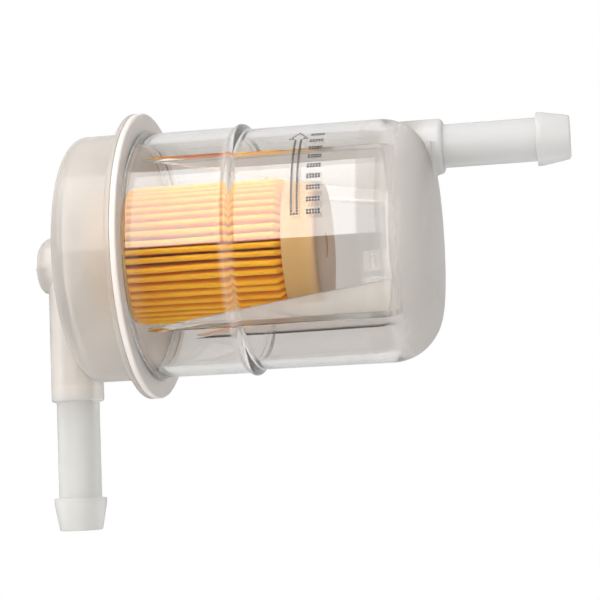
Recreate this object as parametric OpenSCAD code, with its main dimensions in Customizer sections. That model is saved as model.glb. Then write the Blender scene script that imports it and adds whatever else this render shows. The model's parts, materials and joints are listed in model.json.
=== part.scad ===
// In-line fuel filter: a clear bowl welded to a cap, with a pleated paper element inside.
// The filter's axis is X. X = 0 is the weld plane between the two flanges, and +X points
// into the bowl. The cap's elbow points down, along -Z, and the bowl's straight spigot
// lies above the axis, at +Z. All lengths are in millimetres.

/* [Flange] */
// Outer diameter of the two flanges
flange_d = 55; // [54:0.5:60]
// Thickness of each flange
flange_t = 1.15; // [1:0.05:1.6]
// Rounding of the flanges' outer edges
flange_edge_r = 0.45; // [0.2:0.05:0.6]
// Fillet between each flange and its shell
flange_root_r = 0.8; // [0.4:0.1:1.2]

/* [Bowl] */
// Diameter of the bowl between its flange and its bead
bowl_neck_d = 47; // [46.6:0.1:47.4]
// Diameter of the bowl between its bead and its closed end, where a band clamp sits
bowl_band_d = 45.9; // [45.6:0.1:46.2]
// Length of the bowl from the weld plane to its closed end
bowl_l = 55.85; // [55:0.05:57]
// Outer corner radius at the closed end
bowl_corner_r = 9.7; // [9:0.1:10]
// Inside diameter of the bowl at its mouth
bowl_mouth_d = 43.2; // [42.8:0.1:43.4]
// Inside diameter of the bowl at its floor
bowl_floor_d = 42; // [41.8:0.1:42.2]
// Inside corner radius at the floor
bowl_inner_corner_r = 5; // [4.5:0.1:5.5]
// Thickness of the closed end
bowl_end_t = 3.25; // [3:0.05:3.5]
// Distance from the weld plane to the middle of the bead
bead_x = 20.1; // [15:0.1:25]
// Outer diameter of the bead
bead_d = 48.1; // [47.8:0.1:48.6]
// Radius of the bead's rounded top and of the fillets beside it
bead_r = 0.8; // [0.8:0.05:1.2]

/* [Centring fins] */
// Number of fins inside the bowl
fin_count = 4; // [3:1:6]
// Thickness of a fin
fin_t = 1.2; // [0.8:0.1:1.6]
// Distance from the weld plane to where the fins begin
fin_x0 = 3.3; // [2:0.1:8]
// Radius of the fins' inner edge at the locating ring, which is the ring's outer radius too
fin_r1 = 11.6; // [10:0.1:12.5]
// Distance from the weld plane to the top of the locating ring
ring_x = 47.2; // [46:0.1:49]
// Wall of the locating ring
ring_t = 1.4; // [1:0.1:2]

/* [Cap] */
// Diameter of the cap
cap_d = 47.6; // [47.2:0.1:48]
// Depth of the cap from the weld plane
cap_l = 12.7; // [12.4:0.1:13]
// Outer corner radius of the cap
cap_corner_r = 2.4; // [1.6:0.1:3]
// Wall thickness of the cap
cap_t = 2; // [1.8:0.1:2.2]
// Outer radius of the nozzle that holds the element
nozzle_r = 5; // [4.6:0.1:5]
// Height of the nozzle above the cap's floor
nozzle_h = 3.5; // [3:0.1:4]

/* [Hose spigots] */
// Outer diameter of the pipe, for hose of 8 mm bore
pipe_d = 8.2; // [8:0.1:8.4]
// Diameter of the barb
barb_d = 10; // [9.6:0.1:10.4]
// Length of the barb
barb_l = 6.5; // [5.5:0.1:7]
// Length of the barb's cylindrical land
barb_land_l = 1; // [0.8:0.1:1.5]
// Diameter of the barb's tip
barb_tip_d = 8.3; // [8:0.1:8.6]
// Bore of both spigots
bore_d = 5.2; // [4.6:0.1:5.4]

/* [Elbow] */
// Distance from the weld plane to the elbow's axis
elbow_x = 15.2; // [15:0.1:15.6]
// Diameter of the elbow's thick upper tube
elbow_d = 10.1; // [9.6:0.1:10.6]
// Distance from the filter's axis to the end of the thick tube
elbow_l = 27.4; // [26:0.1:30]
// Length of the plain pipe between the thick tube and the barb
elbow_pipe_l = 18.1; // [15:0.1:20]
// Diameter of the round boss at the elbow's corner
corner_boss_d = 11; // [10.6:0.1:11.4]
// Distance from the filter's axis down to the boss's axis
corner_boss_drop = 0.6; // [0:0.1:0.8]
// How far the boss reaches past the elbow's axis
corner_boss_reach = 6.6; // [6.2:0.1:7]

/* [Straight spigot] */
// Height of the spigot above the filter's axis
spigot_z = 17.3; // [17:0.1:17.4]
// Diameter of the spigot's boss
spigot_boss_d = 10.5; // [10.2:0.1:10.6]
// How far the boss stands out of the closed end
spigot_boss_l = 2.05; // [1.5:0.05:3]
// Length of the plain pipe between the boss and the barb
spigot_pipe_l = 17; // [15:0.1:20]

/* [Element] */
// Diameter over the pleats
pleat_outer_d = 26.6; // [26.2:0.1:26.8]
// Diameter over the pleats where they are squeezed into the end caps
pleat_end_d = 24.2; // [23.8:0.1:24.4]
// Diameter inside the pleats
pleat_inner_d = 15.6; // [15.4:0.1:16.4]
// Number of pleats
pleat_count = 46; // [36:1:48]
// Thickness of the paper
paper_t = 0.4; // [0.3:0.05:0.45]
// Where the paper begins, measured from the weld plane towards the cap
paper_x0 = -7.2; // [-7.5:0.1:-7.1]
// Where the paper ends inside the closed end cup
paper_x1 = 32.3; // [31.8:0.1:32.6]
// Diameter of the element's two end caps
end_cap_d = 25.4; // [25:0.1:25.8]
// Thickness of the end caps' discs
end_disc_t = 0.9; // [0.7:0.05:1]
// Depth of the adhesive in each end cap
potting_t = 1.6; // [1.4:0.1:1.7]
// Length of the end caps' skirts past the adhesive
skirt_l = 4.1; // [3:0.1:4.5]
// Outer diameter of the centre tube
core_d = 15.2; // [15:0.1:15.2]
// Wall of the centre tube
core_t = 0.8; // [0.6:0.1:1]
// Width of the centre tube's windows
core_window_w = 4; // [3:0.1:5]
// Width of the rings between the windows
core_rib_w = 1.6; // [1.2:0.1:2.4]

/* [Hidden] */

$fn = 96;
eps = 0.01;
arc_steps = 8;

cap_inner_r = cap_d / 2 - cap_t;
cap_floor_x = -cap_l + cap_t;
bowl_floor_x = bowl_l - bowl_end_t;
bead_centre_r = bead_d / 2 - bead_r;
fin_r0 = bowl_mouth_d / 2;
fin_root_r = bowl_band_d / 2 - 0.75;
embed = 0.8;
shoulder_l = 0.3;
step_edge_r = 0.5;
boss_edge_r = 1;
boss_fillet_r = 1.2;
spigot_boss_x = bowl_l + spigot_boss_l;
closed_disc_x = paper_x1 + potting_t;
open_disc_x = paper_x0 - potting_t;
end_gap = 0.05;
skirt_inner_r = pleat_end_d / 2 + end_gap;
neck_swell_a = acos(1 - (bead_d - bowl_neck_d) / 4 / bead_r);
band_swell_a = acos(1 - (bead_d - bowl_band_d) / 4 / bead_r);
cap_hole_gap = 0.2;
seal_outer_r = 9;
seal_t = open_disc_x - end_disc_t - cap_floor_x;
core_rows = 6;
core_columns = 6;

// Points of an arc, in [radius, position] pairs
function arc(centre, r, from, to, steps = arc_steps) =
    [for (i = [0:steps])
        let (a = from + (to - from) * i / steps)
        [centre[0] + r * cos(a), centre[1] + r * sin(a)]];

function polar(r, a) = [r * cos(a), r * sin(a)];

// Turns [radius, X] points about the filter's axis
module lathe(points) {
    rotate([0, 90, 0])
        rotate_extrude()
            polygon(points);
}

// A tube or disc on the filter's axis, from x0 to x1
module ring(r_out, r_in, x0, x1) {
    lathe([[r_in, x0], [r_out, x0], [r_out, x1], [r_in, x1]]);
}

// Outside of a hose spigot on +Z: a boss up to z = 0, the plain pipe, then the barb
module spigot_outside(boss_d, boss_l, edge_r, pipe_l) {
    barb_z = pipe_l;
    tip_z = pipe_l + barb_l;
    boss_r = boss_d / 2;
    rotate_extrude()
        polygon(concat(
            [[0, -boss_l], [boss_r, -boss_l]],
            arc([boss_r - edge_r, -edge_r], edge_r, 0, 90),
            [
                [pipe_d / 2, 0],
                [pipe_d / 2, barb_z],
                [barb_d / 2, barb_z + shoulder_l],
                [barb_d / 2, barb_z + shoulder_l + barb_land_l],
                [barb_tip_d / 2, tip_z - step_edge_r],
            ],
            arc([barb_tip_d / 2 - step_edge_r, tip_z - step_edge_r], step_edge_r, 0, 90),
            [[0, tip_z]]
        ));
}

module bowl_outside() {
    neck_r = bowl_neck_d / 2;
    band_r = bowl_band_d / 2;
    rim_r = flange_d / 2;
    lathe(concat(
        [[0, 0], [rim_r, 0]],
        arc([rim_r - flange_edge_r, flange_t - flange_edge_r], flange_edge_r, 0, 90),
        arc([neck_r + flange_root_r, flange_t + flange_root_r], flange_root_r, 270, 180),
        arc(
            [neck_r + bead_r, bead_x - 2 * bead_r * sin(neck_swell_a)],
            bead_r,
            180,
            180 - neck_swell_a
        ),
        arc([bead_centre_r, bead_x], bead_r, -neck_swell_a, band_swell_a, 16),
        arc(
            [band_r + bead_r, bead_x + 2 * bead_r * sin(band_swell_a)],
            bead_r,
            180 + band_swell_a,
            180
        ),
        arc([band_r - bowl_corner_r, bowl_l - bowl_corner_r], bowl_corner_r, 0, 90, 16),
        [[0, bowl_l]]
    ));
}

module bowl_cavity() {
    floor_r = bowl_floor_d / 2;
    corner = bowl_inner_corner_r;
    lathe(concat(
        [[0, -1], [bowl_mouth_d / 2, -1], [bowl_mouth_d / 2, 0]],
        arc([floor_r - corner, bowl_floor_x - corner], corner, 0, 90, 12),
        [[0, bowl_floor_x]]
    ));
}

// A fin in the plane of X and +Y: its inner edge slopes in from the wall to the locating ring
module fin() {
    translate([0, 0, -fin_t / 2])
        linear_extrude(fin_t)
            polygon([
                [fin_x0, fin_r0 - 0.1],
                [ring_x, fin_r1],
                [bowl_floor_x + embed, fin_r1],
                [bowl_floor_x + embed, bowl_floor_d / 2 - bowl_inner_corner_r - 0.5],
                [bowl_floor_x - 1.1, bowl_floor_d / 2 - 1.5],
                [bowl_l - bowl_corner_r, fin_root_r],
                [fin_x0, fin_root_r],
            ]);
}

module spigot_fillet() {
    intersection() {
        translate([0, 0, spigot_z])
            lathe(concat(
                [[0, bowl_l - embed], [spigot_boss_d / 2 + boss_fillet_r, bowl_l - embed]],
                arc(
                    [spigot_boss_d / 2 + boss_fillet_r, bowl_l + boss_fillet_r],
                    boss_fillet_r,
                    270,
                    180
                ),
                [[0, bowl_l + boss_fillet_r]]
            ));
        ring(spigot_z + spigot_boss_d / 2 - eps, 0, bowl_l - 2, bowl_l + 2);
        translate([bowl_l - 3, -15, 0])
            cube([6, 30, spigot_z]);
    }
}

module bowl() {
    color([0.86, 0.86, 0.84, 0.45]) {
        difference() {
            union() {
                bowl_outside();
                translate([spigot_boss_x, 0, spigot_z])
                    rotate([0, 90, 0])
                        spigot_outside(spigot_boss_d, 12, boss_edge_r, spigot_pipe_l);
                spigot_fillet();
            }
            bowl_cavity();
            translate([bowl_floor_x - 6, 0, spigot_z])
                rotate([0, 90, 0])
                    cylinder(d = bore_d, h = 60);
        }
        for (i = [0:fin_count - 1])
            rotate([45 + i * 360 / fin_count, 0, 0])
                fin();
        ring(fin_r1, fin_r1 - ring_t, ring_x, bowl_floor_x + embed);
    }
}

module cap_shell() {
    r = cap_d / 2;
    rim_r = flange_d / 2;
    inner_edge = 1.5;
    lathe(concat(
        [[0, -cap_l]],
        arc([r - cap_corner_r, -cap_l + cap_corner_r], cap_corner_r, 270, 360),
        arc([r + flange_root_r, -flange_t - flange_root_r], flange_root_r, 180, 90),
        arc([rim_r - flange_edge_r, -flange_t + flange_edge_r], flange_edge_r, 270, 360),
        [[rim_r, 0], [cap_inner_r, 0]],
        arc([cap_inner_r - inner_edge, cap_floor_x + inner_edge], inner_edge, 0, -90),
        [[0, cap_floor_x]]
    ));
}

// The boss at the elbow's corner: its upper half is domed, its lower half is flat
module corner_boss() {
    r = corner_boss_d / 2;
    dome_r = 3;
    lip_r = 0.9;
    upper_x = -elbow_x - corner_boss_reach;
    lower_x = upper_x + 0.4;
    split_z = -1;
    translate([0, 0, -corner_boss_drop]) {
        intersection() {
            lathe(concat(
                [[0, upper_x]],
                arc([r - dome_r, upper_x + dome_r], dome_r, 270, 360),
                [[r, cap_floor_x - eps], [0, cap_floor_x - eps]]
            ));
            translate([-40, -20, split_z])
                cube([40, 40, 20]);
        }
        intersection() {
            lathe(concat(
                [[0, lower_x]],
                arc([r - lip_r, lower_x + lip_r], lip_r, 270, 360),
                [[r, cap_floor_x - eps], [0, cap_floor_x - eps]]
            ));
            translate([-40, -20, split_z - 20])
                cube([40, 40, 20]);
        }
    }
}

module elbow_passage() {
    bore_r = bore_d / 2;
    translate([-elbow_x, 0, -80])
        cylinder(r = bore_r, h = 80);
    translate([-elbow_x, 0, 0])
        sphere(r = bore_r);
    translate([-elbow_x, 0, 0])
        rotate([0, 90, 0])
            cylinder(r = bore_r, h = 20);
}

module cap() {
    color([0.93, 0.91, 0.87, 0.8])
        difference() {
            union() {
                cap_shell();
                ring(nozzle_r, 0, cap_floor_x - embed, cap_floor_x + nozzle_h);
                corner_boss();
                translate([-elbow_x, 0, -elbow_l])
                    rotate([180, 0, 0])
                        spigot_outside(
                            elbow_d, elbow_l - corner_boss_drop, step_edge_r, elbow_pipe_l
                        );
            }
            elbow_passage();
        }
}

// Outline of one side of the pleated paper. Folds at the outside are tip_w wide, and
// those at the inside are valley_w wide
function pleat_line(tip_r, valley_r, tip_w, valley_w) =
    [for (i = [0:pleat_count - 1])
        let (
            tip_a = i * 360 / pleat_count,
            valley_a = (i + 0.5) * 360 / pleat_count,
            tip_half = tip_w / 2 / tip_r * 180 / PI,
            valley_half = valley_w / 2 / valley_r * 180 / PI
        )
        each [
            polar(tip_r, tip_a - tip_half),
            polar(tip_r, tip_a + tip_half),
            polar(valley_r, valley_a - valley_half),
            polar(valley_r, valley_a + valley_half),
        ]];

fold_outside_w = paper_t * 1.4;
fold_inside_w = paper_t * 0.35;

// A stretch of the pleated paper, from x0 to x1, with its outer folds at tip_r
module pleats(tip_r, x0, x1) {
    valley_r = pleat_inner_d / 2;
    translate([x0, 0, 0])
        rotate([0, 90, 0])
            linear_extrude(x1 - x0)
                difference() {
                    polygon(pleat_line(
                        tip_r, valley_r + paper_t, fold_outside_w, fold_inside_w
                    ));
                    polygon(pleat_line(
                        tip_r - paper_t, valley_r, fold_inside_w, fold_outside_w
                    ));
                }
}

module filter_paper() {
    full_x0 = paper_x0 + skirt_l + end_gap;
    full_x1 = paper_x1 - skirt_l - end_gap;
    color([0.96, 0.68, 0.24]) {
        pleats(pleat_outer_d / 2, full_x0, full_x1);
        pleats(pleat_end_d / 2, paper_x0, full_x0);
        pleats(pleat_end_d / 2, full_x1, paper_x1);
    }
}

// The bead of glue that closes the strip of paper into a ring, in the valley at the back
module paper_seam() {
    valley = floor(pleat_count / 4) + 0.5;
    gap = 0.06;
    tip_r = pleat_end_d / 2;
    valley_r = pleat_inner_d / 2 + paper_t;
    inner_r = valley_r + 1.5;
    outer_r = tip_r - 0.4;
    half_pitch = 180 / pleat_count;
    tip_edge = half_pitch - fold_outside_w / 2 / tip_r * 180 / PI;
    function half_at(r) = tip_edge * (r - valley_r) / (tip_r - valley_r) - gap / r * 180 / PI;
    color([0.9, 0.8, 0.5])
        translate([paper_x0, 0, 0])
            rotate([0, 90, 0])
                rotate([0, 0, valley * 2 * half_pitch])
                    linear_extrude(paper_x1 - paper_x0)
                        polygon([
                            polar(inner_r, -half_at(inner_r)),
                            polar(outer_r, -half_at(outer_r)),
                            polar(outer_r, half_at(outer_r)),
                            polar(inner_r, half_at(inner_r)),
                        ]);
}

module centre_tube() {
    x0 = open_disc_x;
    x1 = closed_disc_x;
    row_pitch = (x1 - x0) / core_rows;
    color([0.88, 0.88, 0.86])
        difference() {
            ring(core_d / 2, core_d / 2 - core_t, x0, x1);
            for (row = [0:core_rows - 1], column = [0:core_columns - 1])
                translate([x0 + (row + 0.5) * row_pitch, 0, 0])
                    rotate([(column + 0.5) * 360 / core_columns, 0, 0])
                        translate([0, 0, core_d / 2])
                            cube([row_pitch - core_rib_w, core_window_w, core_d / 2], center = true);
        }
}

module closed_end_cup() {
    x1 = closed_disc_x + end_disc_t;
    r = end_cap_d / 2;
    edge_r = 0.6;
    color([0.93, 0.89, 0.82, 0.8])
        lathe(concat(
            [
                [0, closed_disc_x],
                [skirt_inner_r, closed_disc_x],
                [skirt_inner_r, closed_disc_x - potting_t - skirt_l],
                [r, closed_disc_x - potting_t - skirt_l],
            ],
            arc([r - edge_r, x1 - edge_r], edge_r, 0, 90),
            [[0, x1]]
        ));
}

module closed_end_potting() {
    color([0.85, 0.7, 0.4])
        ring(skirt_inner_r, core_d / 2, paper_x1, closed_disc_x);
}

module open_end_cap() {
    x0 = open_disc_x - end_disc_t;
    r = end_cap_d / 2;
    hole_r = nozzle_r + cap_hole_gap;
    color([0.93, 0.89, 0.82, 0.8])
        lathe([
            [hole_r, x0],
            [r, x0],
            [r, paper_x0 + skirt_l],
            [skirt_inner_r, paper_x0 + skirt_l],
            [skirt_inner_r, open_disc_x],
            [hole_r, open_disc_x],
        ]);
}

module open_end_potting() {
    color([0.85, 0.7, 0.4])
        ring(skirt_inner_r, core_d / 2, open_disc_x, paper_x0);
}

module nozzle_seal() {
    color([0.15, 0.15, 0.15])
        ring(seal_outer_r, nozzle_r, cap_floor_x, cap_floor_x + seal_t);
}

bowl();
cap();
filter_paper();
paper_seam();
centre_tube();
closed_end_cup();
closed_end_potting();
open_end_cap();
open_end_potting();
nozzle_seal();
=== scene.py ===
"""In-line fuel filter: clear bowl, milky cap with an elbow, pleated paper element inside.

The filter's axis is X, and X = 0 is the weld plane between the two flanges. Lengths in this
script are millimetres, and are scaled by MM to metres where a mesh or a light is made.
"""

import json
import math
import random

import bpy
from mathutils import Matrix, Vector

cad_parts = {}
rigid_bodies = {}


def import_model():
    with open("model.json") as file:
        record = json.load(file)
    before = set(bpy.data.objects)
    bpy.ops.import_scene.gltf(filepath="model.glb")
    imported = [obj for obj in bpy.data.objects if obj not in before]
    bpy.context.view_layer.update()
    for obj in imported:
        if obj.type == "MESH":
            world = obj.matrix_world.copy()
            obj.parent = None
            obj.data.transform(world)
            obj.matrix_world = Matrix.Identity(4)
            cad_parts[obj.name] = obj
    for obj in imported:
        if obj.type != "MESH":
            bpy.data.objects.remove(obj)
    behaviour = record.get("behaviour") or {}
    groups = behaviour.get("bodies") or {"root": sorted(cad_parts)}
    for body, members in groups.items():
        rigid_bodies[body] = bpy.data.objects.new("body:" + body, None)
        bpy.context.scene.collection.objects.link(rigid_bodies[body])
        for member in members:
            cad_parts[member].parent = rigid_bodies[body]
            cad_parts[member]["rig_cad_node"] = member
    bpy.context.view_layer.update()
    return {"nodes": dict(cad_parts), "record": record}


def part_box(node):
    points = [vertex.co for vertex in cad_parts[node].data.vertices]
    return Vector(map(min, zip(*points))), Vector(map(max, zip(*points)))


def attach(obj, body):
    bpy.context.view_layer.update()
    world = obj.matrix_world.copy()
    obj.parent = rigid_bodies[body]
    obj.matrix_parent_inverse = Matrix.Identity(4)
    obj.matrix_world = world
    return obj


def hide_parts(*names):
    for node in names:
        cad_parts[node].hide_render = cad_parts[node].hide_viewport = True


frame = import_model()
MM = 0.001

# ---------------------------------------------------------------- what the frame says
mounts = {m["name"]: m for m in frame["record"]["mounts"]}


def mount_r(name):
    return mounts[name]["dims"]["r_mm"]


def mount_at(name):
    return Vector(mounts[name]["pos_m"]) / MM


def box(node):
    low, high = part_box(node)
    return low / MM, high / MM


bowl_high = box("bowl")[1]
cap_low = box("cap")[0]
paper_low, paper_high = box("filter_paper")
cup_low, cup_high = box("closed_end_cup")
open_cap_high = box("open_end_cap")[1]
potting_high = box("closed_end_potting")[1]
core_high = box("centre_tube")[1]

RIM_R = mount_r("flange_rim")
BAND_R = mount_r("band_seat")
BORE_R = mount_r("spigot_bore")
BARB_R = mount_r("spigot_barb")
SPIGOT_Z = mount_at("spigot_barb").z
ELBOW_X = mount_at("elbow_barb").x
SPIGOT_TIP_X = bowl_high.x
ELBOW_TIP_Z = cap_low.z

# ---------------------------------------------------------------- shape details, in mm
FLANGE_T = 1.15
FLANGE_EDGE_R = 0.45
FLANGE_ROOT_R = 0.8
RIM_EDGE = 0.12
WELD_GAP = 0.02
NECK_R = 23.5
BOWL_L = 55.85
BOWL_CORNER_R = 9.7
MOUTH_R = 21.6
FLOOR_R = 21.0
INNER_CORNER_R = 5.0
END_T = 3.25
FLOOR_X = BOWL_L - END_T
FLOOR_OVERLAP = 0.8
BEAD_X = 20.1
BEAD_TOP_R = 24.05
BEAD_R = 0.8
BOSS_FILLET_R = 1.2
FIN_COUNT = 4
FIN_T = 1.2
FIN_X0 = 3.3
RING_X = 47.2
RING_R = 11.6
RING_T = 1.4

CAP_R = 23.8
CAP_L = 12.7
CAP_CORNER_R = 2.4
CAP_T = 2.0
NOZZLE_R = 5.0
NOZZLE_H = 3.5

PIPE_R = 4.1
BARB_L = 6.5
BARB_LAND = 1.0
BARB_TIP_R = 4.15
SHOULDER_L = 0.3
SPIGOT_BOSS_R = 5.25
SPIGOT_BOSS_X = 57.9
ELBOW_R = 5.05
ELBOW_END_Z = -27.4
BOSS_R = 5.5
BOSS_DROP = 0.6
BOSS_REACH = 6.6
BOSS_SPLIT = -1.0
BOSS_STEP = 0.4

PLEATS = 46
PAPER_T = 0.4

BIG_TURN = 288
SMALL_TURN = 96
SMOOTH_ANGLE = math.radians(32)


# ---------------------------------------------------------------- mesh helpers
def arc(centre_r, centre_x, r, start, end, steps=12):
    """Points (radius, position) of an arc; angles in degrees, 0 along the radius."""
    points = []
    for i in range(steps + 1):
        a = math.radians(start + (end - start) * i / steps)
        points.append((centre_r + r * math.cos(a), centre_x + r * math.sin(a)))
    return points


def new_piece(name, verts, faces, smooth=True):
    mesh = bpy.data.meshes.new(name)
    mesh.from_pydata([tuple(v) for v in verts], [], faces)
    mesh.validate()
    mesh.update()
    piece = bpy.data.objects.new(name, mesh)
    bpy.context.scene.collection.objects.link(piece)
    if smooth:
        finish_shading(piece)
    return piece


def finish_shading(piece):
    piece.data.shade_smooth()
    piece.data.set_sharp_from_angle(angle=SMOOTH_ANGLE)


ALONG_X = Matrix(((0, 0, 1), (0, 1, 0), (-1, 0, 0)))
ALONG_MINUS_Z = Matrix(((1, 0, 0), (0, -1, 0), (0, 0, -1)))


def lathe(name, profile, turn=BIG_TURN, axis=ALONG_X, at=(0, 0, 0)):
    """Turns a closed outline of (radius, position) points, in mm, about an axis through at."""
    origin = Vector(at)
    verts, rings, faces = [], [], []
    for r, x in profile:
        if r < 1e-6:
            rings.append([len(verts)] * turn)
            verts.append((axis @ Vector((0, 0, x)) + origin) * MM)
            continue
        rings.append(list(range(len(verts), len(verts) + turn)))
        for i in range(turn):
            a = 2 * math.pi * i / turn
            local = Vector((r * math.cos(a), r * math.sin(a), x))
            verts.append((axis @ local + origin) * MM)
    for here, there in zip(rings, rings[1:] + rings[:1]):
        if here[0] == here[1] and there[0] == there[1]:
            continue
        for i in range(turn):
            j = (i + 1) % turn
            corners = [here[i], here[j], there[j], there[i]]
            faces.append(tuple(dict.fromkeys(corners)))
    piece = new_piece(name, verts, faces)
    make_outward(piece)
    return piece


def make_outward(piece):
    """Turns the faces outward if the mesh encloses a negative volume."""
    volume = 0.0
    mesh = piece.data
    mesh.calc_loop_triangles()
    for tri in mesh.loop_triangles:
        a, b, c = (mesh.vertices[i].co for i in tri.vertices)
        volume += a.dot(b.cross(c))
    if volume < 0:
        mesh.flip_normals()


def stack(name, layers, axis=Matrix.Identity(3)):
    """A solid through layers, which are pairs of a height and an outline of (x, y) points."""
    n = len(layers[0][1])
    verts = [(axis @ Vector((x, y, z))) * MM for z, outline in layers for x, y in outline]
    top = n * (len(layers) - 1)
    faces = [tuple(range(n)), tuple(range(top, top + n))[::-1]]
    for low in range(0, top, n):
        for i in range(n):
            j = (i + 1) % n
            faces.append((low + i, low + i + n, low + j + n, low + j))
    piece = new_piece(name, verts, faces)
    make_outward(piece)
    return piece


def combine(piece, tool, operation):
    """Boolean of piece with tool, which is used up."""
    cut = piece.modifiers.new("cut", "BOOLEAN")
    cut.operation = operation
    cut.solver = "MANIFOLD"
    cut.object = tool
    graph = bpy.context.evaluated_depsgraph_get()
    mesh = bpy.data.meshes.new_from_object(piece.evaluated_get(graph))
    piece.modifiers.clear()
    piece.data = mesh
    bpy.data.objects.remove(tool)


def bar_outline(inner_r, outer_r, start, end):
    """Outline of a round bar or a tube, for lathe."""
    return [(inner_r, start), (outer_r, start), (outer_r, end), (inner_r, end)]


def hose_end(tip, boss, boss_start):
    """Outline of a hose spigot: boss, plain pipe and barb. Positions count up to the tip."""
    boss_r, boss_end, boss_edge = boss
    barb = tip - BARB_L
    edge = 0.5
    foot, notch, crest, land = 0.25, 0.2, 0.15, 0.6
    return (
        [(0, boss_start), (boss_r, boss_start)]
        + arc(boss_r - boss_edge, boss_end - boss_edge, boss_edge, 0, 90, 8)
        + arc(PIPE_R + foot, boss_end + foot, foot, 270, 180, 6)
        + [(PIPE_R, barb - 0.02)]
        + arc(PIPE_R + notch, barb - notch + SHOULDER_L, notch, 180, 90, 5)
        + arc(BARB_R - crest, barb + SHOULDER_L + crest, crest, -90, 0, 6)
        + arc(BARB_R - land, barb + SHOULDER_L + BARB_LAND, land, 0, 12, 3)
        + arc(BARB_TIP_R - edge, tip - edge, edge, 12, 90, 8)
        + [(0, tip)]
    )


# ---------------------------------------------------------------- the bowl
def bead_outline():
    """The bead: a rounded top between two fillets of the same radius."""
    neck_a = math.acos(1 - (BEAD_TOP_R - NECK_R) / 2 / BEAD_R)
    band_a = math.acos(1 - (BEAD_TOP_R - BAND_R) / 2 / BEAD_R)
    neck_x = BEAD_X - 2 * BEAD_R * math.sin(neck_a)
    band_x = BEAD_X + 2 * BEAD_R * math.sin(band_a)
    neck_turn, band_turn = math.degrees(neck_a), math.degrees(band_a)
    return (
        arc(NECK_R + BEAD_R, neck_x, BEAD_R, 180, 180 - neck_turn, 8)
        + arc(BEAD_TOP_R - BEAD_R, BEAD_X, BEAD_R, -neck_turn, band_turn, 20)[1:-1]
        + arc(BAND_R + BEAD_R, band_x, BEAD_R, 180 + band_turn, 180, 8)
    )


def bowl_outline():
    return (
        [(0, 0), (RIM_R - RIM_EDGE, 0), (RIM_R, RIM_EDGE)]
        + arc(RIM_R - FLANGE_EDGE_R, FLANGE_T - FLANGE_EDGE_R, FLANGE_EDGE_R, 0, 90, 10)
        + arc(NECK_R + FLANGE_ROOT_R, FLANGE_T + FLANGE_ROOT_R, FLANGE_ROOT_R, 270, 180, 12)
        + [(NECK_R, x) for x in (6, 10, 14)]
        + bead_outline()
        + [(BAND_R, x) for x in (28, 34, 40)]
        + arc(BAND_R - BOWL_CORNER_R, BOWL_L - BOWL_CORNER_R, BOWL_CORNER_R, 0, 90, 30)
        + [(0, BOWL_L)]
    )


def cavity_outline():
    corner = arc(FLOOR_R - INNER_CORNER_R, FLOOR_X - INNER_CORNER_R, INNER_CORNER_R, 0, 90, 24)
    return [(0, -1), (MOUTH_R, -1), (MOUTH_R, 0)] + corner + [(0, FLOOR_X)]


def fin_outline(trim):
    """Side view of a fin, with its sloping inner edge moved out by trim."""
    root_r = BAND_R - 0.75
    return [
        (FIN_X0, MOUTH_R - 0.1 + trim),
        (RING_X, RING_R + trim),
        (FLOOR_X + FLOOR_OVERLAP, RING_R + trim),
        (FLOOR_X + FLOOR_OVERLAP, FLOOR_R - INNER_CORNER_R - 0.5),
        (FLOOR_X - 1.1, FLOOR_R - 1.5),
        (BOWL_L - BOWL_CORNER_R, root_r),
        (FIN_X0, root_r),
    ]


def make_fin(turn):
    """A fin whose inner edge is half round."""
    half = FIN_T / 2
    layers = []
    for i in range(9):
        a = math.pi * (i / 8 - 0.5)
        layers.append((half * math.sin(a), fin_outline(half * (1 - math.cos(a)))))
    return stack("fin", layers, turn)


def spigot_fillet():
    """The fillet round the lower half of the spigot's boss, where it meets the closed end."""
    foot_r = SPIGOT_BOSS_R + BOSS_FILLET_R
    outline = [(0, BOWL_L - 1), (foot_r, BOWL_L - 1)]
    outline += arc(foot_r, BOWL_L + BOSS_FILLET_R, BOSS_FILLET_R, 270, 180, 8)
    outline += [(0, BOWL_L + BOSS_FILLET_R)]
    fillet = lathe("fillet", outline, SMALL_TURN, at=(0, 0, SPIGOT_Z))
    keep = bar_outline(0, BAND_R - 0.5, BOWL_L - 2, BOWL_L + 2)
    combine(fillet, lathe("fillet_keep", keep), "INTERSECT")
    below = [(BOWL_L - 3, -15), (BOWL_L + 3, -15), (BOWL_L + 3, 15), (BOWL_L - 3, 15)]
    combine(fillet, stack("below", [(z, below) for z in (0, SPIGOT_Z)]), "INTERSECT")
    return fillet


def make_bowl():
    bowl = lathe("bowl_shell", bowl_outline())
    boss = (SPIGOT_BOSS_R, SPIGOT_BOSS_X, 1.0)
    outline = hose_end(SPIGOT_TIP_X, boss, SPIGOT_BOSS_X - 12)
    spigot = lathe("spigot", outline, SMALL_TURN, at=(0, 0, SPIGOT_Z))
    combine(bowl, spigot, "UNION")
    combine(bowl, spigot_fillet(), "UNION")
    combine(bowl, lathe("cavity", cavity_outline()), "DIFFERENCE")
    bore = bar_outline(0, BORE_R, FLOOR_X - 6, SPIGOT_TIP_X + 5)
    combine(bowl, lathe("bore", bore, SMALL_TURN, at=(0, 0, SPIGOT_Z)), "DIFFERENCE")
    for i in range(FIN_COUNT):
        turn = Matrix.Rotation(math.radians(45 + i * 360 / FIN_COUNT), 3, "X")
        combine(bowl, make_fin(turn), "UNION")
    ring = bar_outline(RING_R - RING_T, RING_R, RING_X, FLOOR_X + FLOOR_OVERLAP)
    combine(bowl, lathe("ring", ring), "UNION")
    finish_shading(bowl)
    return bowl


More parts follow.
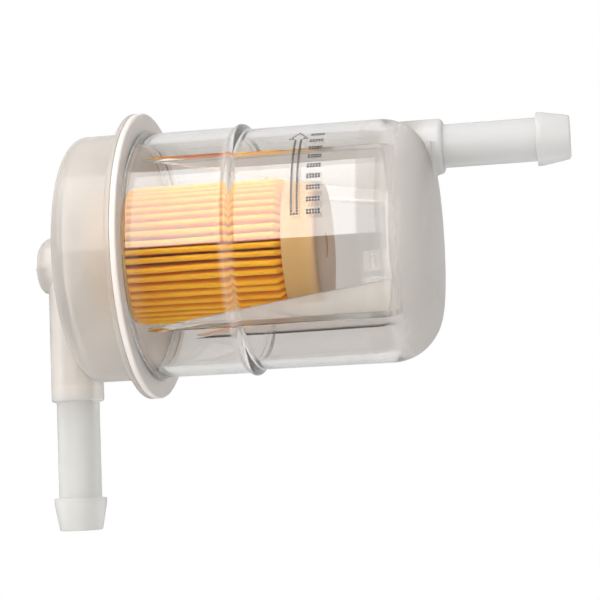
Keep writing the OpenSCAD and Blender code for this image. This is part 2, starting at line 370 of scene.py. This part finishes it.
# ---------------------------------------------------------------- the cap
def cap_outline():
    return (
        [(0, -CAP_L)]
        + arc(CAP_R - CAP_CORNER_R, -CAP_L + CAP_CORNER_R, CAP_CORNER_R, 270, 360, 20)
        + [(CAP_R, -8), (CAP_R, -5)]
        + arc(CAP_R + FLANGE_ROOT_R, -FLANGE_T - FLANGE_ROOT_R, FLANGE_ROOT_R, 180, 90, 12)
        + arc(RIM_R - FLANGE_EDGE_R, -FLANGE_T + FLANGE_EDGE_R, FLANGE_EDGE_R, 270, 360, 10)
        + [(RIM_R, -WELD_GAP - RIM_EDGE), (RIM_R - RIM_EDGE, -WELD_GAP), (0, -WELD_GAP)]
    )


def cap_cavity_outline():
    inner_r = CAP_R - CAP_T
    floor_x = -CAP_L + CAP_T
    edge = 1.5
    return (
        [(0, 1), (inner_r, 1)]
        + arc(inner_r - edge, floor_x + edge, edge, 0, -90, 12)
        + [(NOZZLE_R, floor_x), (NOZZLE_R, floor_x + NOZZLE_H), (0, floor_x + NOZZLE_H)]
    )


def half_boss(back_x, edge_r, low_z, high_z):
    """The elbow's corner boss between two heights, its back edge rounded by edge_r."""
    front_x = -CAP_L + CAP_T - 0.01
    outline = [(0, back_x)] + arc(BOSS_R - edge_r, back_x + edge_r, edge_r, 270, 360, 16)
    outline += [(BOSS_R, front_x), (0, front_x)]
    boss = lathe("corner_boss", outline, SMALL_TURN, at=(0, 0, -BOSS_DROP))
    side = [(-40, -20), (0, -20), (0, 20), (-40, 20)]
    combine(boss, stack("boss_keep", [(z - BOSS_DROP, side) for z in (low_z, high_z)]), "INTERSECT")
    return boss


def make_cap():
    cap = lathe("cap_shell", cap_outline())
    back_x = ELBOW_X - BOSS_REACH
    combine(cap, half_boss(back_x, 3.0, BOSS_SPLIT, 20), "UNION")
    combine(cap, half_boss(back_x + BOSS_STEP, 0.9, -20, BOSS_SPLIT), "UNION")
    boss = (ELBOW_R, -ELBOW_END_Z, 0.5)
    outline = hose_end(-ELBOW_TIP_Z, boss, BOSS_DROP)
    tube = lathe("elbow_tube", outline, SMALL_TURN, ALONG_MINUS_Z, (ELBOW_X, 0, 0))
    combine(cap, tube, "UNION")
    combine(cap, lathe("cap_cavity", cap_cavity_outline()), "DIFFERENCE")
    ball = [(0, -80), (BORE_R, -80)] + arc(0, 0, BORE_R, 0, 90, 16)
    down = lathe("down_bore", [(r, -x) for r, x in ball], SMALL_TURN, ALONG_MINUS_Z, (ELBOW_X, 0, 0))
    combine(cap, down, "DIFFERENCE")
    across = bar_outline(0, BORE_R, ELBOW_X, 5)
    combine(cap, lathe("cross_bore", across, SMALL_TURN), "DIFFERENCE")
    finish_shading(cap)
    return cap


# ---------------------------------------------------------------- the element
def gathered(x):
    """How far the pleats are squeezed at x: 1 inside an end cap, 0 from a little outside it."""
    reach = 1.2
    outside = min(cup_low.x - x, x - open_cap_high.x)
    t = min(max(1 - outside / reach, 0), 1)
    return t * t * (3 - 2 * t)


def make_paper():
    """The pleated paper: rounded folds, swept along the axis with a slight waviness."""
    rng = random.Random(7)
    pitch = 2 * math.pi / PLEATS
    full_r = paper_high.y - PAPER_T / 2
    end_r = potting_high.y - 0.05 - PAPER_T / 2
    valley_r = core_high.y + 0.2 + PAPER_T / 2
    fold = 0.31
    in_fold = 0.24
    steps = 6
    stations = 52
    length = paper_high.x - paper_low.x
    pleats = [
        {
            "shift": rng.uniform(-0.1, 0.1),
            "wave": rng.uniform(0.03, 0.1),
            "phase": rng.uniform(0, 2 * math.pi),
            "rate": rng.uniform(0.6, 1.3),
            "short": rng.uniform(0.0, 0.2),
        }
        for _ in range(PLEATS)
    ]
    loops = []
    for s in range(stations + 1):
        x = paper_low.x + length * s / stations
        squeeze = gathered(x)
        centre = []
        for k, p in enumerate(pleats):
            middle = k * pitch
            wave = p["wave"] * math.sin(p["phase"] + p["rate"] * 2 * math.pi * s / stations)
            side = (p["shift"] + wave) * (1 - 0.7 * squeeze)
            top = full_r - p["short"]
            top += (end_r - top) * squeeze
            for i in range(steps + 1):
                t = math.pi * i / steps
                r = top - fold + fold * math.sin(t)
                centre.append((r, middle + (side - fold * math.cos(t)) / r))
            for i in range(steps + 1):
                t = math.pi * i / steps
                r = valley_r + in_fold - in_fold * math.sin(t)
                centre.append((r, middle + pitch / 2 - in_fold * math.cos(t) / r))
        loops.append([(Vector((r * math.sin(a), -r * math.cos(a))), x) for r, a in centre])
    verts, faces = [], []
    count = len(loops[0])
    for loop in loops:
        for side in (1, -1):
            for i in range(count):
                here, x = loop[i]
                tangent = (loop[(i + 1) % count][0] - loop[i - 1][0]).normalized()
                normal = Vector((tangent.y, -tangent.x)) * side
                p = here + normal * PAPER_T / 2
                verts.append(Vector((x, p.x, p.y)) * MM)
    row = 2 * count
    for s in range(stations):
        for i in range(count):
            j = (i + 1) % count
            a, b = s * row, (s + 1) * row
            faces.append((a + i, a + j, b + j, b + i))
            faces.append((a + count + i, b + count + i, b + count + j, a + count + j))
    for i in range(count):
        j = (i + 1) % count
        faces.append((i, count + i, count + j, j))
        e = stations * row
        faces.append((e + i, e + j, e + count + j, e + count + i))
    paper = new_piece("pleated_paper", verts, faces)
    make_outward(paper)
    return paper


def make_cup():
    """Closed end cup: a disc with a small dimple, and a skirt that holds the paper's end."""
    r = cup_high.y
    inner = potting_high.y
    disc_x = potting_high.x
    edge = 0.7
    dimple_r = 2.6
    dimple = 0.25
    outline = (
        [(0, disc_x), (inner - 0.3, disc_x), (inner, disc_x - 0.3)]
        + arc((inner + r) / 2, cup_low.x + (r - inner) / 2, (r - inner) / 2, 180, 360, 8)
        + arc(r - edge, cup_high.x - edge, edge, 0, 90, 8)
        + [(3.2, cup_high.x)]
        + arc(dimple_r, cup_high.x - dimple, dimple, 80, 180, 4)
        + [(0, cup_high.x - dimple)]
    )
    return lathe("closed_end_disc", outline, 192)


# ---------------------------------------------------------------- printed marks
def make_print():
    """Printed marks on the bowl, as small flat dots: an outlined arrow and a row of bars."""
    dot = 0.25
    rise = 0.015
    pitch = 0.52
    sides = 10
    arrow_x = 32.6
    start = math.radians(7)
    shaft = 34
    dots = []
    for i in range(shaft):
        dots += [(-1, i), (1, i)]
    dots += [(0, 0)]
    for i in range(5):
        dots += [(3 - i * 0.75, shaft + i * 1.1), (i * 0.75 - 3, shaft + i * 1.1)]
    dots += [(2, shaft), (-2, shaft), (0, shaft + 4.6)]
    bars = 9
    bar_rows = 2
    bar_step = 4.5
    bar_middle = 6.6
    for bar in range(bars):
        for i in range(bar_rows):
            dots += [(bar_middle + c, bar * bar_step + i) for c in range(-2, 3)]
    verts, faces = [], []
    r = BAND_R + rise
    for across, along in dots:
        x = arrow_x + across * pitch
        a = start + along * pitch / BAND_R
        base = len(verts)
        for i in range(sides):
            t = 2 * math.pi * i / sides
            px = x + dot * math.cos(t)
            pa = a + dot * math.sin(t) / BAND_R
            verts.append(Vector((px, -r * math.cos(pa), r * math.sin(pa))) * MM)
        faces.append(tuple(range(base, base + sides)))
    return new_piece("printed_dots", verts, faces)


# ---------------------------------------------------------------- materials
class Nodes:
    """A material's node tree with short calls."""

    def __init__(self, name):
        self.material = bpy.data.materials.new(name)
        self.material.use_nodes = True
        self.tree = self.material.node_tree
        self.shader = self.tree.nodes["Principled BSDF"]

    def add(self, kind, **values):
        node = self.tree.nodes.new(kind)
        for key, value in values.items():
            if key in node.inputs:
                node.inputs[key].default_value = value
            else:
                setattr(node, key, value)
        return node

    def link(self, source, target):
        self.tree.links.new(source, target)

    def set(self, **values):
        for key, value in values.items():
            self.shader.inputs[key.replace("_", " ")].default_value = value

    def noise(self, scale, detail, stretch=(1, 1, 1)):
        where = self.add("ShaderNodeTexCoord")
        mapping = self.add("ShaderNodeMapping")
        mapping.inputs["Scale"].default_value = stretch
        noise = self.add("ShaderNodeTexNoise", Scale=scale, Detail=detail)
        self.link(where.outputs["Object"], mapping.inputs["Vector"])
        self.link(mapping.outputs["Vector"], noise.inputs["Vector"])
        return noise

    def spread(self, source, low, high, socket=None):
        """Maps 0..1 to low..high, and drives a socket of the shader with it if one is named."""
        span = self.add("ShaderNodeMapRange")
        span.inputs["To Min"].default_value = low
        span.inputs["To Max"].default_value = high
        self.link(source, span.inputs["Value"])
        if socket:
            self.link(span.outputs["Result"], self.shader.inputs[socket])
        return span.outputs["Result"]

    def place(self):
        """The point's X, and its distance from the filter's axis, in metres."""
        where = self.add("ShaderNodeTexCoord")
        split = self.add("ShaderNodeSeparateXYZ")
        self.link(where.outputs["Object"], split.inputs["Vector"])
        return split.outputs["X"], self.distance_from((0, 0, 0))

    def distance_from(self, point):
        """The distance in the plane across X from a point in mm, in metres."""
        where = self.add("ShaderNodeTexCoord")
        offset = self.add("ShaderNodeVectorMath", operation="MULTIPLY_ADD")
        offset.inputs[1].default_value = (0, 1, 1)
        offset.inputs[2].default_value = Vector(point) * -MM
        length = self.add("ShaderNodeVectorMath", operation="LENGTH")
        self.link(where.outputs["Object"], offset.inputs[0])
        self.link(offset.outputs["Vector"], length.inputs[0])
        return length.outputs["Value"]

    def step(self, source, start, end):
        """0 before start, 1 after end, both in mm, with a smooth change between."""
        span = self.add("ShaderNodeMapRange", interpolation_type="SMOOTHSTEP")
        span.inputs["From Min"].default_value = start * MM
        span.inputs["From Max"].default_value = end * MM
        self.link(source, span.inputs["Value"])
        return span.outputs["Result"]

    def math(self, operation, *sources):
        node = self.add("ShaderNodeMath", operation=operation)
        for socket, source in zip(node.inputs, sources):
            if isinstance(source, (int, float)):
                socket.default_value = source
            else:
                self.link(source, socket)
        return node.outputs["Value"]

    def colours(self, source, stops):
        ramp = self.add("ShaderNodeValToRGB")
        elements = ramp.color_ramp.elements
        while len(elements) < len(stops):
            elements.new(0.5)
        for element, (place, colour) in zip(elements, stops):
            element.position = place
            element.color = (*colour, 1)
        self.link(source, ramp.inputs["Fac"])
        self.link(ramp.outputs["Color"], self.shader.inputs["Base Color"])

    def bump(self, source, distance, strength):
        bump = self.add("ShaderNodeBump", Distance=distance, Strength=strength)
        self.link(source, bump.inputs["Height"])
        self.link(bump.outputs["Normal"], self.shader.inputs["Normal"])


def clear_plastic():
    """The bowl: clear wall, milky at the closed end, the flange and the spigot, and on the fins.

    Each mask is 1 in its own zone. They drive roughness, coat, transmission and colour.
    """
    m = Nodes("clear_nylon")
    m.set(IOR=1.32, Coat_Roughness=0.03, Coat_IOR=1.5)
    x, r = m.place()
    end = m.step(x, 46, 53)
    flange = m.math("MULTIPLY", m.step(x, 2.5, 0.8), m.step(r, 23.5, 24.5))
    spigot = m.math("MULTIPLY", m.step(x, 53, 55), m.step(m.distance_from((0, 0, SPIGOT_Z)), 6.2, 5.6))
    slope = (MOUTH_R - RING_R) / (RING_X - FIN_X0)
    edge_r = m.math("MULTIPLY_ADD", x, -slope, (MOUTH_R + slope * FIN_X0) * MM)
    fin_edge = m.step(m.math("SUBTRACT", r, edge_r), 0.5, 0.2)
    inside = m.step(r, MOUTH_R - 0.5, MOUTH_R - 0.9)
    fins = m.math("MULTIPLY", inside, m.step(x, RING_X + 1, RING_X))
    # painted highlight: along the fins' inner edges the wall is made opaque and white, a bright line
    painted_fin_edge_highlight = m.math("MULTIPLY", fins, fin_edge)
    reach, flat = 1.8, 0.9
    past_left = m.step(x, BEAD_X - reach, BEAD_X - flat)
    past_right = m.step(x, BEAD_X + reach, BEAD_X + flat)
    bead = m.math("MULTIPLY", past_left, past_right)
    bead = m.math("MULTIPLY", bead, m.step(r, BAND_R - 0.1, BAND_R + 0.1))
    root = m.math("MULTIPLY", m.step(x, 5, 2), m.step(r, 20, 21))
    milky = m.math("MAXIMUM", end, flange)
    haze = m.noise(60, 3)
    clear_rough = m.spread(haze.outputs["Fac"], 0.015, 0.05)
    rough = m.math("MULTIPLY_ADD", milky, 0.36, clear_rough)
    soft = m.math("MAXIMUM", bead, m.math("MULTIPLY", root, 0.5))
    m.link(m.math("MULTIPLY_ADD", soft, 0.12, rough), m.shader.inputs["Roughness"])
    wall_gloss = m.math("SUBTRACT", m.step(x, 43.9, 43.2), flange)
    wall_gloss = m.math("MULTIPLY_ADD", bead, -0.6, wall_gloss)
    wall_gloss = m.math("MAXIMUM", wall_gloss, m.math("MULTIPLY", spigot, 0.3))
    m.spread(wall_gloss, 0.12, 1.0, "Coat Weight")
    cloudy = m.math("MAXIMUM", m.math("MULTIPLY", end, 0.45), m.math("MULTIPLY", flange, 0.45))
    cloudy = m.math("MAXIMUM", cloudy, m.math("MULTIPLY", soft, 0.08))
    cloudy = m.math("MAXIMUM", cloudy, m.math("MULTIPLY", fins, 0.3))
    # no transmission on the painted highlight along the fins' inner edges
    m.spread(m.math("MAXIMUM", cloudy, painted_fin_edge_highlight), 1.0, 0.0, "Transmission Weight")
    tone = m.math("MAXIMUM", m.math("MULTIPLY", end, 0.3), m.math("MULTIPLY", flange, 0.75))
    # the fins take the whitest colour, which also paints the highlight on their inner edges
    tone = m.math("MAXIMUM", m.math("MULTIPLY_ADD", spigot, 0.2, tone), fins)
    stops = [(0.0, (0.87, 0.845, 0.82)), (0.3, (0.56, 0.53, 0.50)), (0.5, (0.62, 0.61, 0.60))]
    m.colours(tone, stops + [(0.75, (0.82, 0.78, 0.74)), (1.0, (0.97, 0.96, 0.94))])
    ripple = m.noise(25, 2, (0.3, 1, 1))
    m.bump(ripple.outputs["Fac"], 0.00012, 0.5)
    return m.material


def milky_plastic():
    m = Nodes("milky_nylon")
    m.set(IOR=1.3, Coat_Weight=0.38, Coat_Roughness=0.04, Coat_IOR=1.5)
    cloud = m.noise(80, 3)
    m.spread(cloud.outputs["Fac"], 0.40, 0.50, "Roughness")
    m.spread(cloud.outputs["Fac"], 0.80, 0.72, "Transmission Weight")
    x, r = m.place()
    pipe = m.math("MULTIPLY", m.step(r, 24.2, 28), m.step(x, -4, -8))
    tone = m.math("MULTIPLY_ADD", pipe, 0.7, m.math("MULTIPLY", cloud.outputs["Fac"], 0.3))
    stops = [(0.1, (0.70, 0.66, 0.615)), (0.2, (0.75, 0.705, 0.66))]
    m.colours(tone, stops + [(0.8, (0.68, 0.67, 0.65)), (0.9, (0.72, 0.71, 0.69))])
    ripple = m.noise(40, 2)
    m.bump(ripple.outputs["Fac"], 0.0001, 0.4)
    return m.material


def filter_paper():
    """Resin-treated paper that lets some light through, with painted shade: darker in the folds,
    lighter on the ridges.
    """
    m = Nodes("filter_paper")
    m.set(Roughness=0.85, Specular_IOR_Level=0.1, Subsurface_Weight=1.0, Subsurface_Scale=0.0015)
    m.shader.inputs["Subsurface Radius"].default_value = (1.0, 0.45, 0.06)
    fibre = m.noise(900, 6, (0.4, 1, 1))
    # painted shade and light: 0 down in the folds, darker deep orange; 1 on the ridges, lighter and
    # yellower
    painted_ridge_light = m.step(m.place()[1], 11.9, 13.1)
    # random fibre tone plus the painted shade of the folds
    shade = m.math("MULTIPLY_ADD", fibre.outputs["Fac"], 0.25, m.math("MULTIPLY", painted_ridge_light, 0.75))
    stops = [(0.1, (0.99, 0.31, 0.008)), (0.6, (0.99, 0.36, 0.012)), (0.95, (0.99, 0.44, 0.03))]
    m.colours(shade, stops)
    m.bump(fibre.outputs["Fac"], 0.00008, 0.6)
    return m.material


def end_cap_plastic():
    """Amber on the skirts, where the glue shows through, and pinker on the discs."""
    m = Nodes("end_cap_plastic")
    m.set(IOR=1.3)
    cloud = m.noise(120, 3, (1, 0.3, 0.3))
    m.spread(cloud.outputs["Fac"], 0.25, 0.35, "Roughness")
    m.spread(cloud.outputs["Fac"], 0.65, 0.5, "Transmission Weight")
    disc = m.step(m.place()[0], cup_high.x - 2.2, cup_high.x - 0.7)
    shade = m.math("MULTIPLY_ADD", cloud.outputs["Fac"], 0.3, m.math("MULTIPLY", disc, 0.7))
    m.colours(shade, [(0.1, (0.88, 0.60, 0.20)), (0.2, (0.92, 0.68, 0.30)), (0.85, (0.92, 0.62, 0.36))])
    return m.material


def adhesive():
    m = Nodes("adhesive")
    m.set(Roughness=0.4)
    cloud = m.noise(300, 4)
    m.colours(cloud.outputs["Fac"], [(0.3, (0.62, 0.42, 0.16)), (0.7, (0.78, 0.58, 0.28))])
    m.bump(cloud.outputs["Fac"], 0.0001, 0.5)
    return m.material


def core_plastic():
    m = Nodes("core_plastic")
    m.set(Roughness=0.45)
    cloud = m.noise(150, 3)
    m.colours(cloud.outputs["Fac"], [(0.3, (0.78, 0.77, 0.74)), (0.7, (0.88, 0.87, 0.85))])
    return m.material


def seal_rubber():
    m = Nodes("seal_rubber")
    m.set(Roughness=0.6)
    grain = m.noise(700, 4)
    m.colours(grain.outputs["Fac"], [(0.3, (0.02, 0.02, 0.02)), (0.7, (0.045, 0.045, 0.045))])
    m.bump(grain.outputs["Fac"], 0.00005, 0.5)
    return m.material


def print_ink():
    m = Nodes("print_ink")
    m.set(Roughness=0.3)
    patch = m.noise(1500, 3)
    m.colours(patch.outputs["Fac"], [(0.35, (0.015, 0.014, 0.014)), (0.75, (0.09, 0.08, 0.08))])
    return m.material


def floor_material():
    m = Nodes("studio_floor")
    m.set(Roughness=0.9)
    m.shader.inputs["Base Color"].default_value = (0.93, 0.93, 0.93, 1)
    return m.material


def dress(piece, material, replaces=()):
    piece.data.materials.clear()
    piece.data.materials.append(material)
    if "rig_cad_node" not in piece:
        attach(piece, "root")
    if replaces:
        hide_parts(*replaces)


# ---------------------------------------------------------------- camera, light and floor
def make_camera():
    """The camera stands a little below the filter's axis and looks slightly up at it."""
    target = Vector((29.085, 0, -10.173)) * MM
    azimuth, elevation, roll = math.radians(9.922), math.radians(-5.92), math.radians(-2.363)
    distance = 0.320
    back = Vector(
        (
            math.sin(azimuth) * math.cos(elevation),
            -math.cos(azimuth) * math.cos(elevation),
            math.sin(elevation),
        )
    )
    right = (-back).cross(Vector((0, 0, 1))).normalized()
    up = right.cross(-back).normalized()
    turned_right = math.cos(roll) * right + math.sin(roll) * up
    turned_up = -math.sin(roll) * right + math.cos(roll) * up
    place = Matrix((turned_right, turned_up, back)).transposed().to_4x4()
    place.translation = target + back * distance
    data = bpy.data.cameras.new("camera")
    data.lens = 101.2
    data.sensor_width = 36
    data.clip_start = 0.01
    camera = bpy.data.objects.new("camera", data)
    camera.matrix_world = place
    bpy.context.scene.collection.objects.link(camera)
    bpy.context.scene.camera = camera


def area_light(name, at, towards, width, height, radiance):
    data = bpy.data.lights.new(name, "AREA")
    data.shape = "RECTANGLE"
    data.size = width
    data.size_y = height
    data.energy = radiance * math.pi * width * height
    lamp = bpy.data.objects.new(name, data)
    lamp.location = at
    lamp.rotation_euler = (Vector(at) - Vector(towards)).to_track_quat("Z", "Y").to_euler()
    bpy.context.scene.collection.objects.link(lamp)


def make_light():
    """One wide softbox, curved round the filter's axis, from just above level to 75 degrees."""
    reach = 0.5
    radiance = 4.0
    left, right = -0.549, 0.06
    start, end = math.radians(1), math.radians(75)
    strips = 6
    step = (end - start) / strips
    height = 2 * reach * math.tan(step / 2)
    x = (left + right) / 2
    for i in range(strips):
        tilt = start + (i + 0.5) * step
        at = (x, -reach * math.cos(tilt), reach * math.sin(tilt))
        area_light(f"softbox_{i}", at, (x, 0, 0), right - left, height, radiance)
    make_world()
    bpy.context.scene.view_settings.view_transform = "Standard"


def make_world():
    """A white studio whose level depends on how a ray got there.

    Mirror reflections find it light behind the filter and dark in front. Light scattered
    inside the bowl is raised, to make up for what the walls take. The backdrop seen through
    both walls is a little lower, as cloudy nylon would leave it.
    """
    world = bpy.data.worlds.new("studio")
    world.use_nodes = True
    tree = world.node_tree
    background = tree.nodes["Background"]

    def add(kind, **values):
        node = tree.nodes.new(kind)
        for key, value in values.items():
            setattr(node, key, value)
        return node

    path = add("ShaderNodeLightPath")
    where = add("ShaderNodeTexCoord")
    split = add("ShaderNodeSeparateXYZ")
    tree.links.new(where.outputs["Generated"], split.inputs["Vector"])

    def ramp(source, **values):
        node = add("ShaderNodeMapRange", interpolation_type="SMOOTHSTEP")
        for key, value in values.items():
            node.inputs[key.replace("_", " ")].default_value = value
        tree.links.new(source, node.inputs["Value"])
        return node

    wall = ramp(split.outputs["Z"], From_Min=-0.6, From_Max=0.6, To_Min=0.5, To_Max=0.75)
    back = ramp(split.outputs["Y"], From_Min=-0.1, From_Max=0.5, To_Min=0.05)
    tree.links.new(wall.outputs["Result"], back.inputs["To Max"])

    def above(name, limit):
        node = add("ShaderNodeMath", operation="GREATER_THAN")
        node.inputs[1].default_value = limit
        tree.links.new(path.outputs[name], node.inputs[0])
        return node.outputs["Value"]

    def choose(factor, *levels):
        """The first level, or the second where the factor is 1; each a number or an output."""
        node = add("ShaderNodeMix", data_type="FLOAT")
        tree.links.new(factor, node.inputs["Factor"])
        for name, level in zip("AB", levels):
            if isinstance(level, float):
                node.inputs[name].default_value = level
            else:
                tree.links.new(level, node.inputs[name])
        return node.outputs["Result"]

    once, one_wall, two_walls = 0.5, 2.5, 3.5
    within = ramp(split.outputs["Y"], From_Min=-0.1, From_Max=0.5, To_Min=0.4, To_Max=0.95)
    in_air, in_bowl = 1.35, 1.8
    plain, clouded = 1.0, 0.8
    ambient = choose(above("Transmission Depth", one_wall), in_air, in_bowl)
    seen = choose(above("Transmission Depth", two_walls), plain, clouded)
    direct = choose(above("Diffuse Depth", once), seen, ambient)
    inner, outer = within.outputs["Result"], back.outputs["Result"]
    mirror = choose(above("Transmission Depth", once), outer, inner)
    level = choose(above("Glossy Depth", once), direct, mirror)
    background.inputs["Color"].default_value = (1, 1, 1, 1)
    tree.links.new(level, background.inputs["Strength"])
    bpy.context.scene.world = world


def make_floor():
    """A round table top below the hanging filter, small enough to stay out of the main view."""
    drop = 70
    level = (ELBOW_TIP_Z - drop) * MM
    radius = 0.5
    sides = 64
    turn = 2 * math.pi / sides
    verts = [(radius * math.cos(i * turn), radius * math.sin(i * turn), level) for i in range(sides)]
    floor = new_piece("floor", verts, [tuple(range(sides))], smooth=False)
    floor.data.materials.append(floor_material())
    floor.visible_glossy = False
    floor.visible_transmission = False


# ---------------------------------------------------------------- everything together
make_camera()
make_light()
make_floor()

dress(make_bowl(), clear_plastic(), ["bowl"])
dress(make_cap(), milky_plastic(), ["cap"])
dress(make_paper(), filter_paper(), ["filter_paper"])
end_cap = end_cap_plastic()
glue = adhesive()
dress(make_cup(), end_cap, ["closed_end_cup"])
dress(frame["nodes"]["open_end_cap"], end_cap)
for node in ("closed_end_potting", "open_end_potting", "paper_seam"):
    dress(frame["nodes"][node], glue)
dress(frame["nodes"]["centre_tube"], core_plastic())
dress(frame["nodes"]["nozzle_seal"], seal_rubber())
dress(make_print(), print_ink())
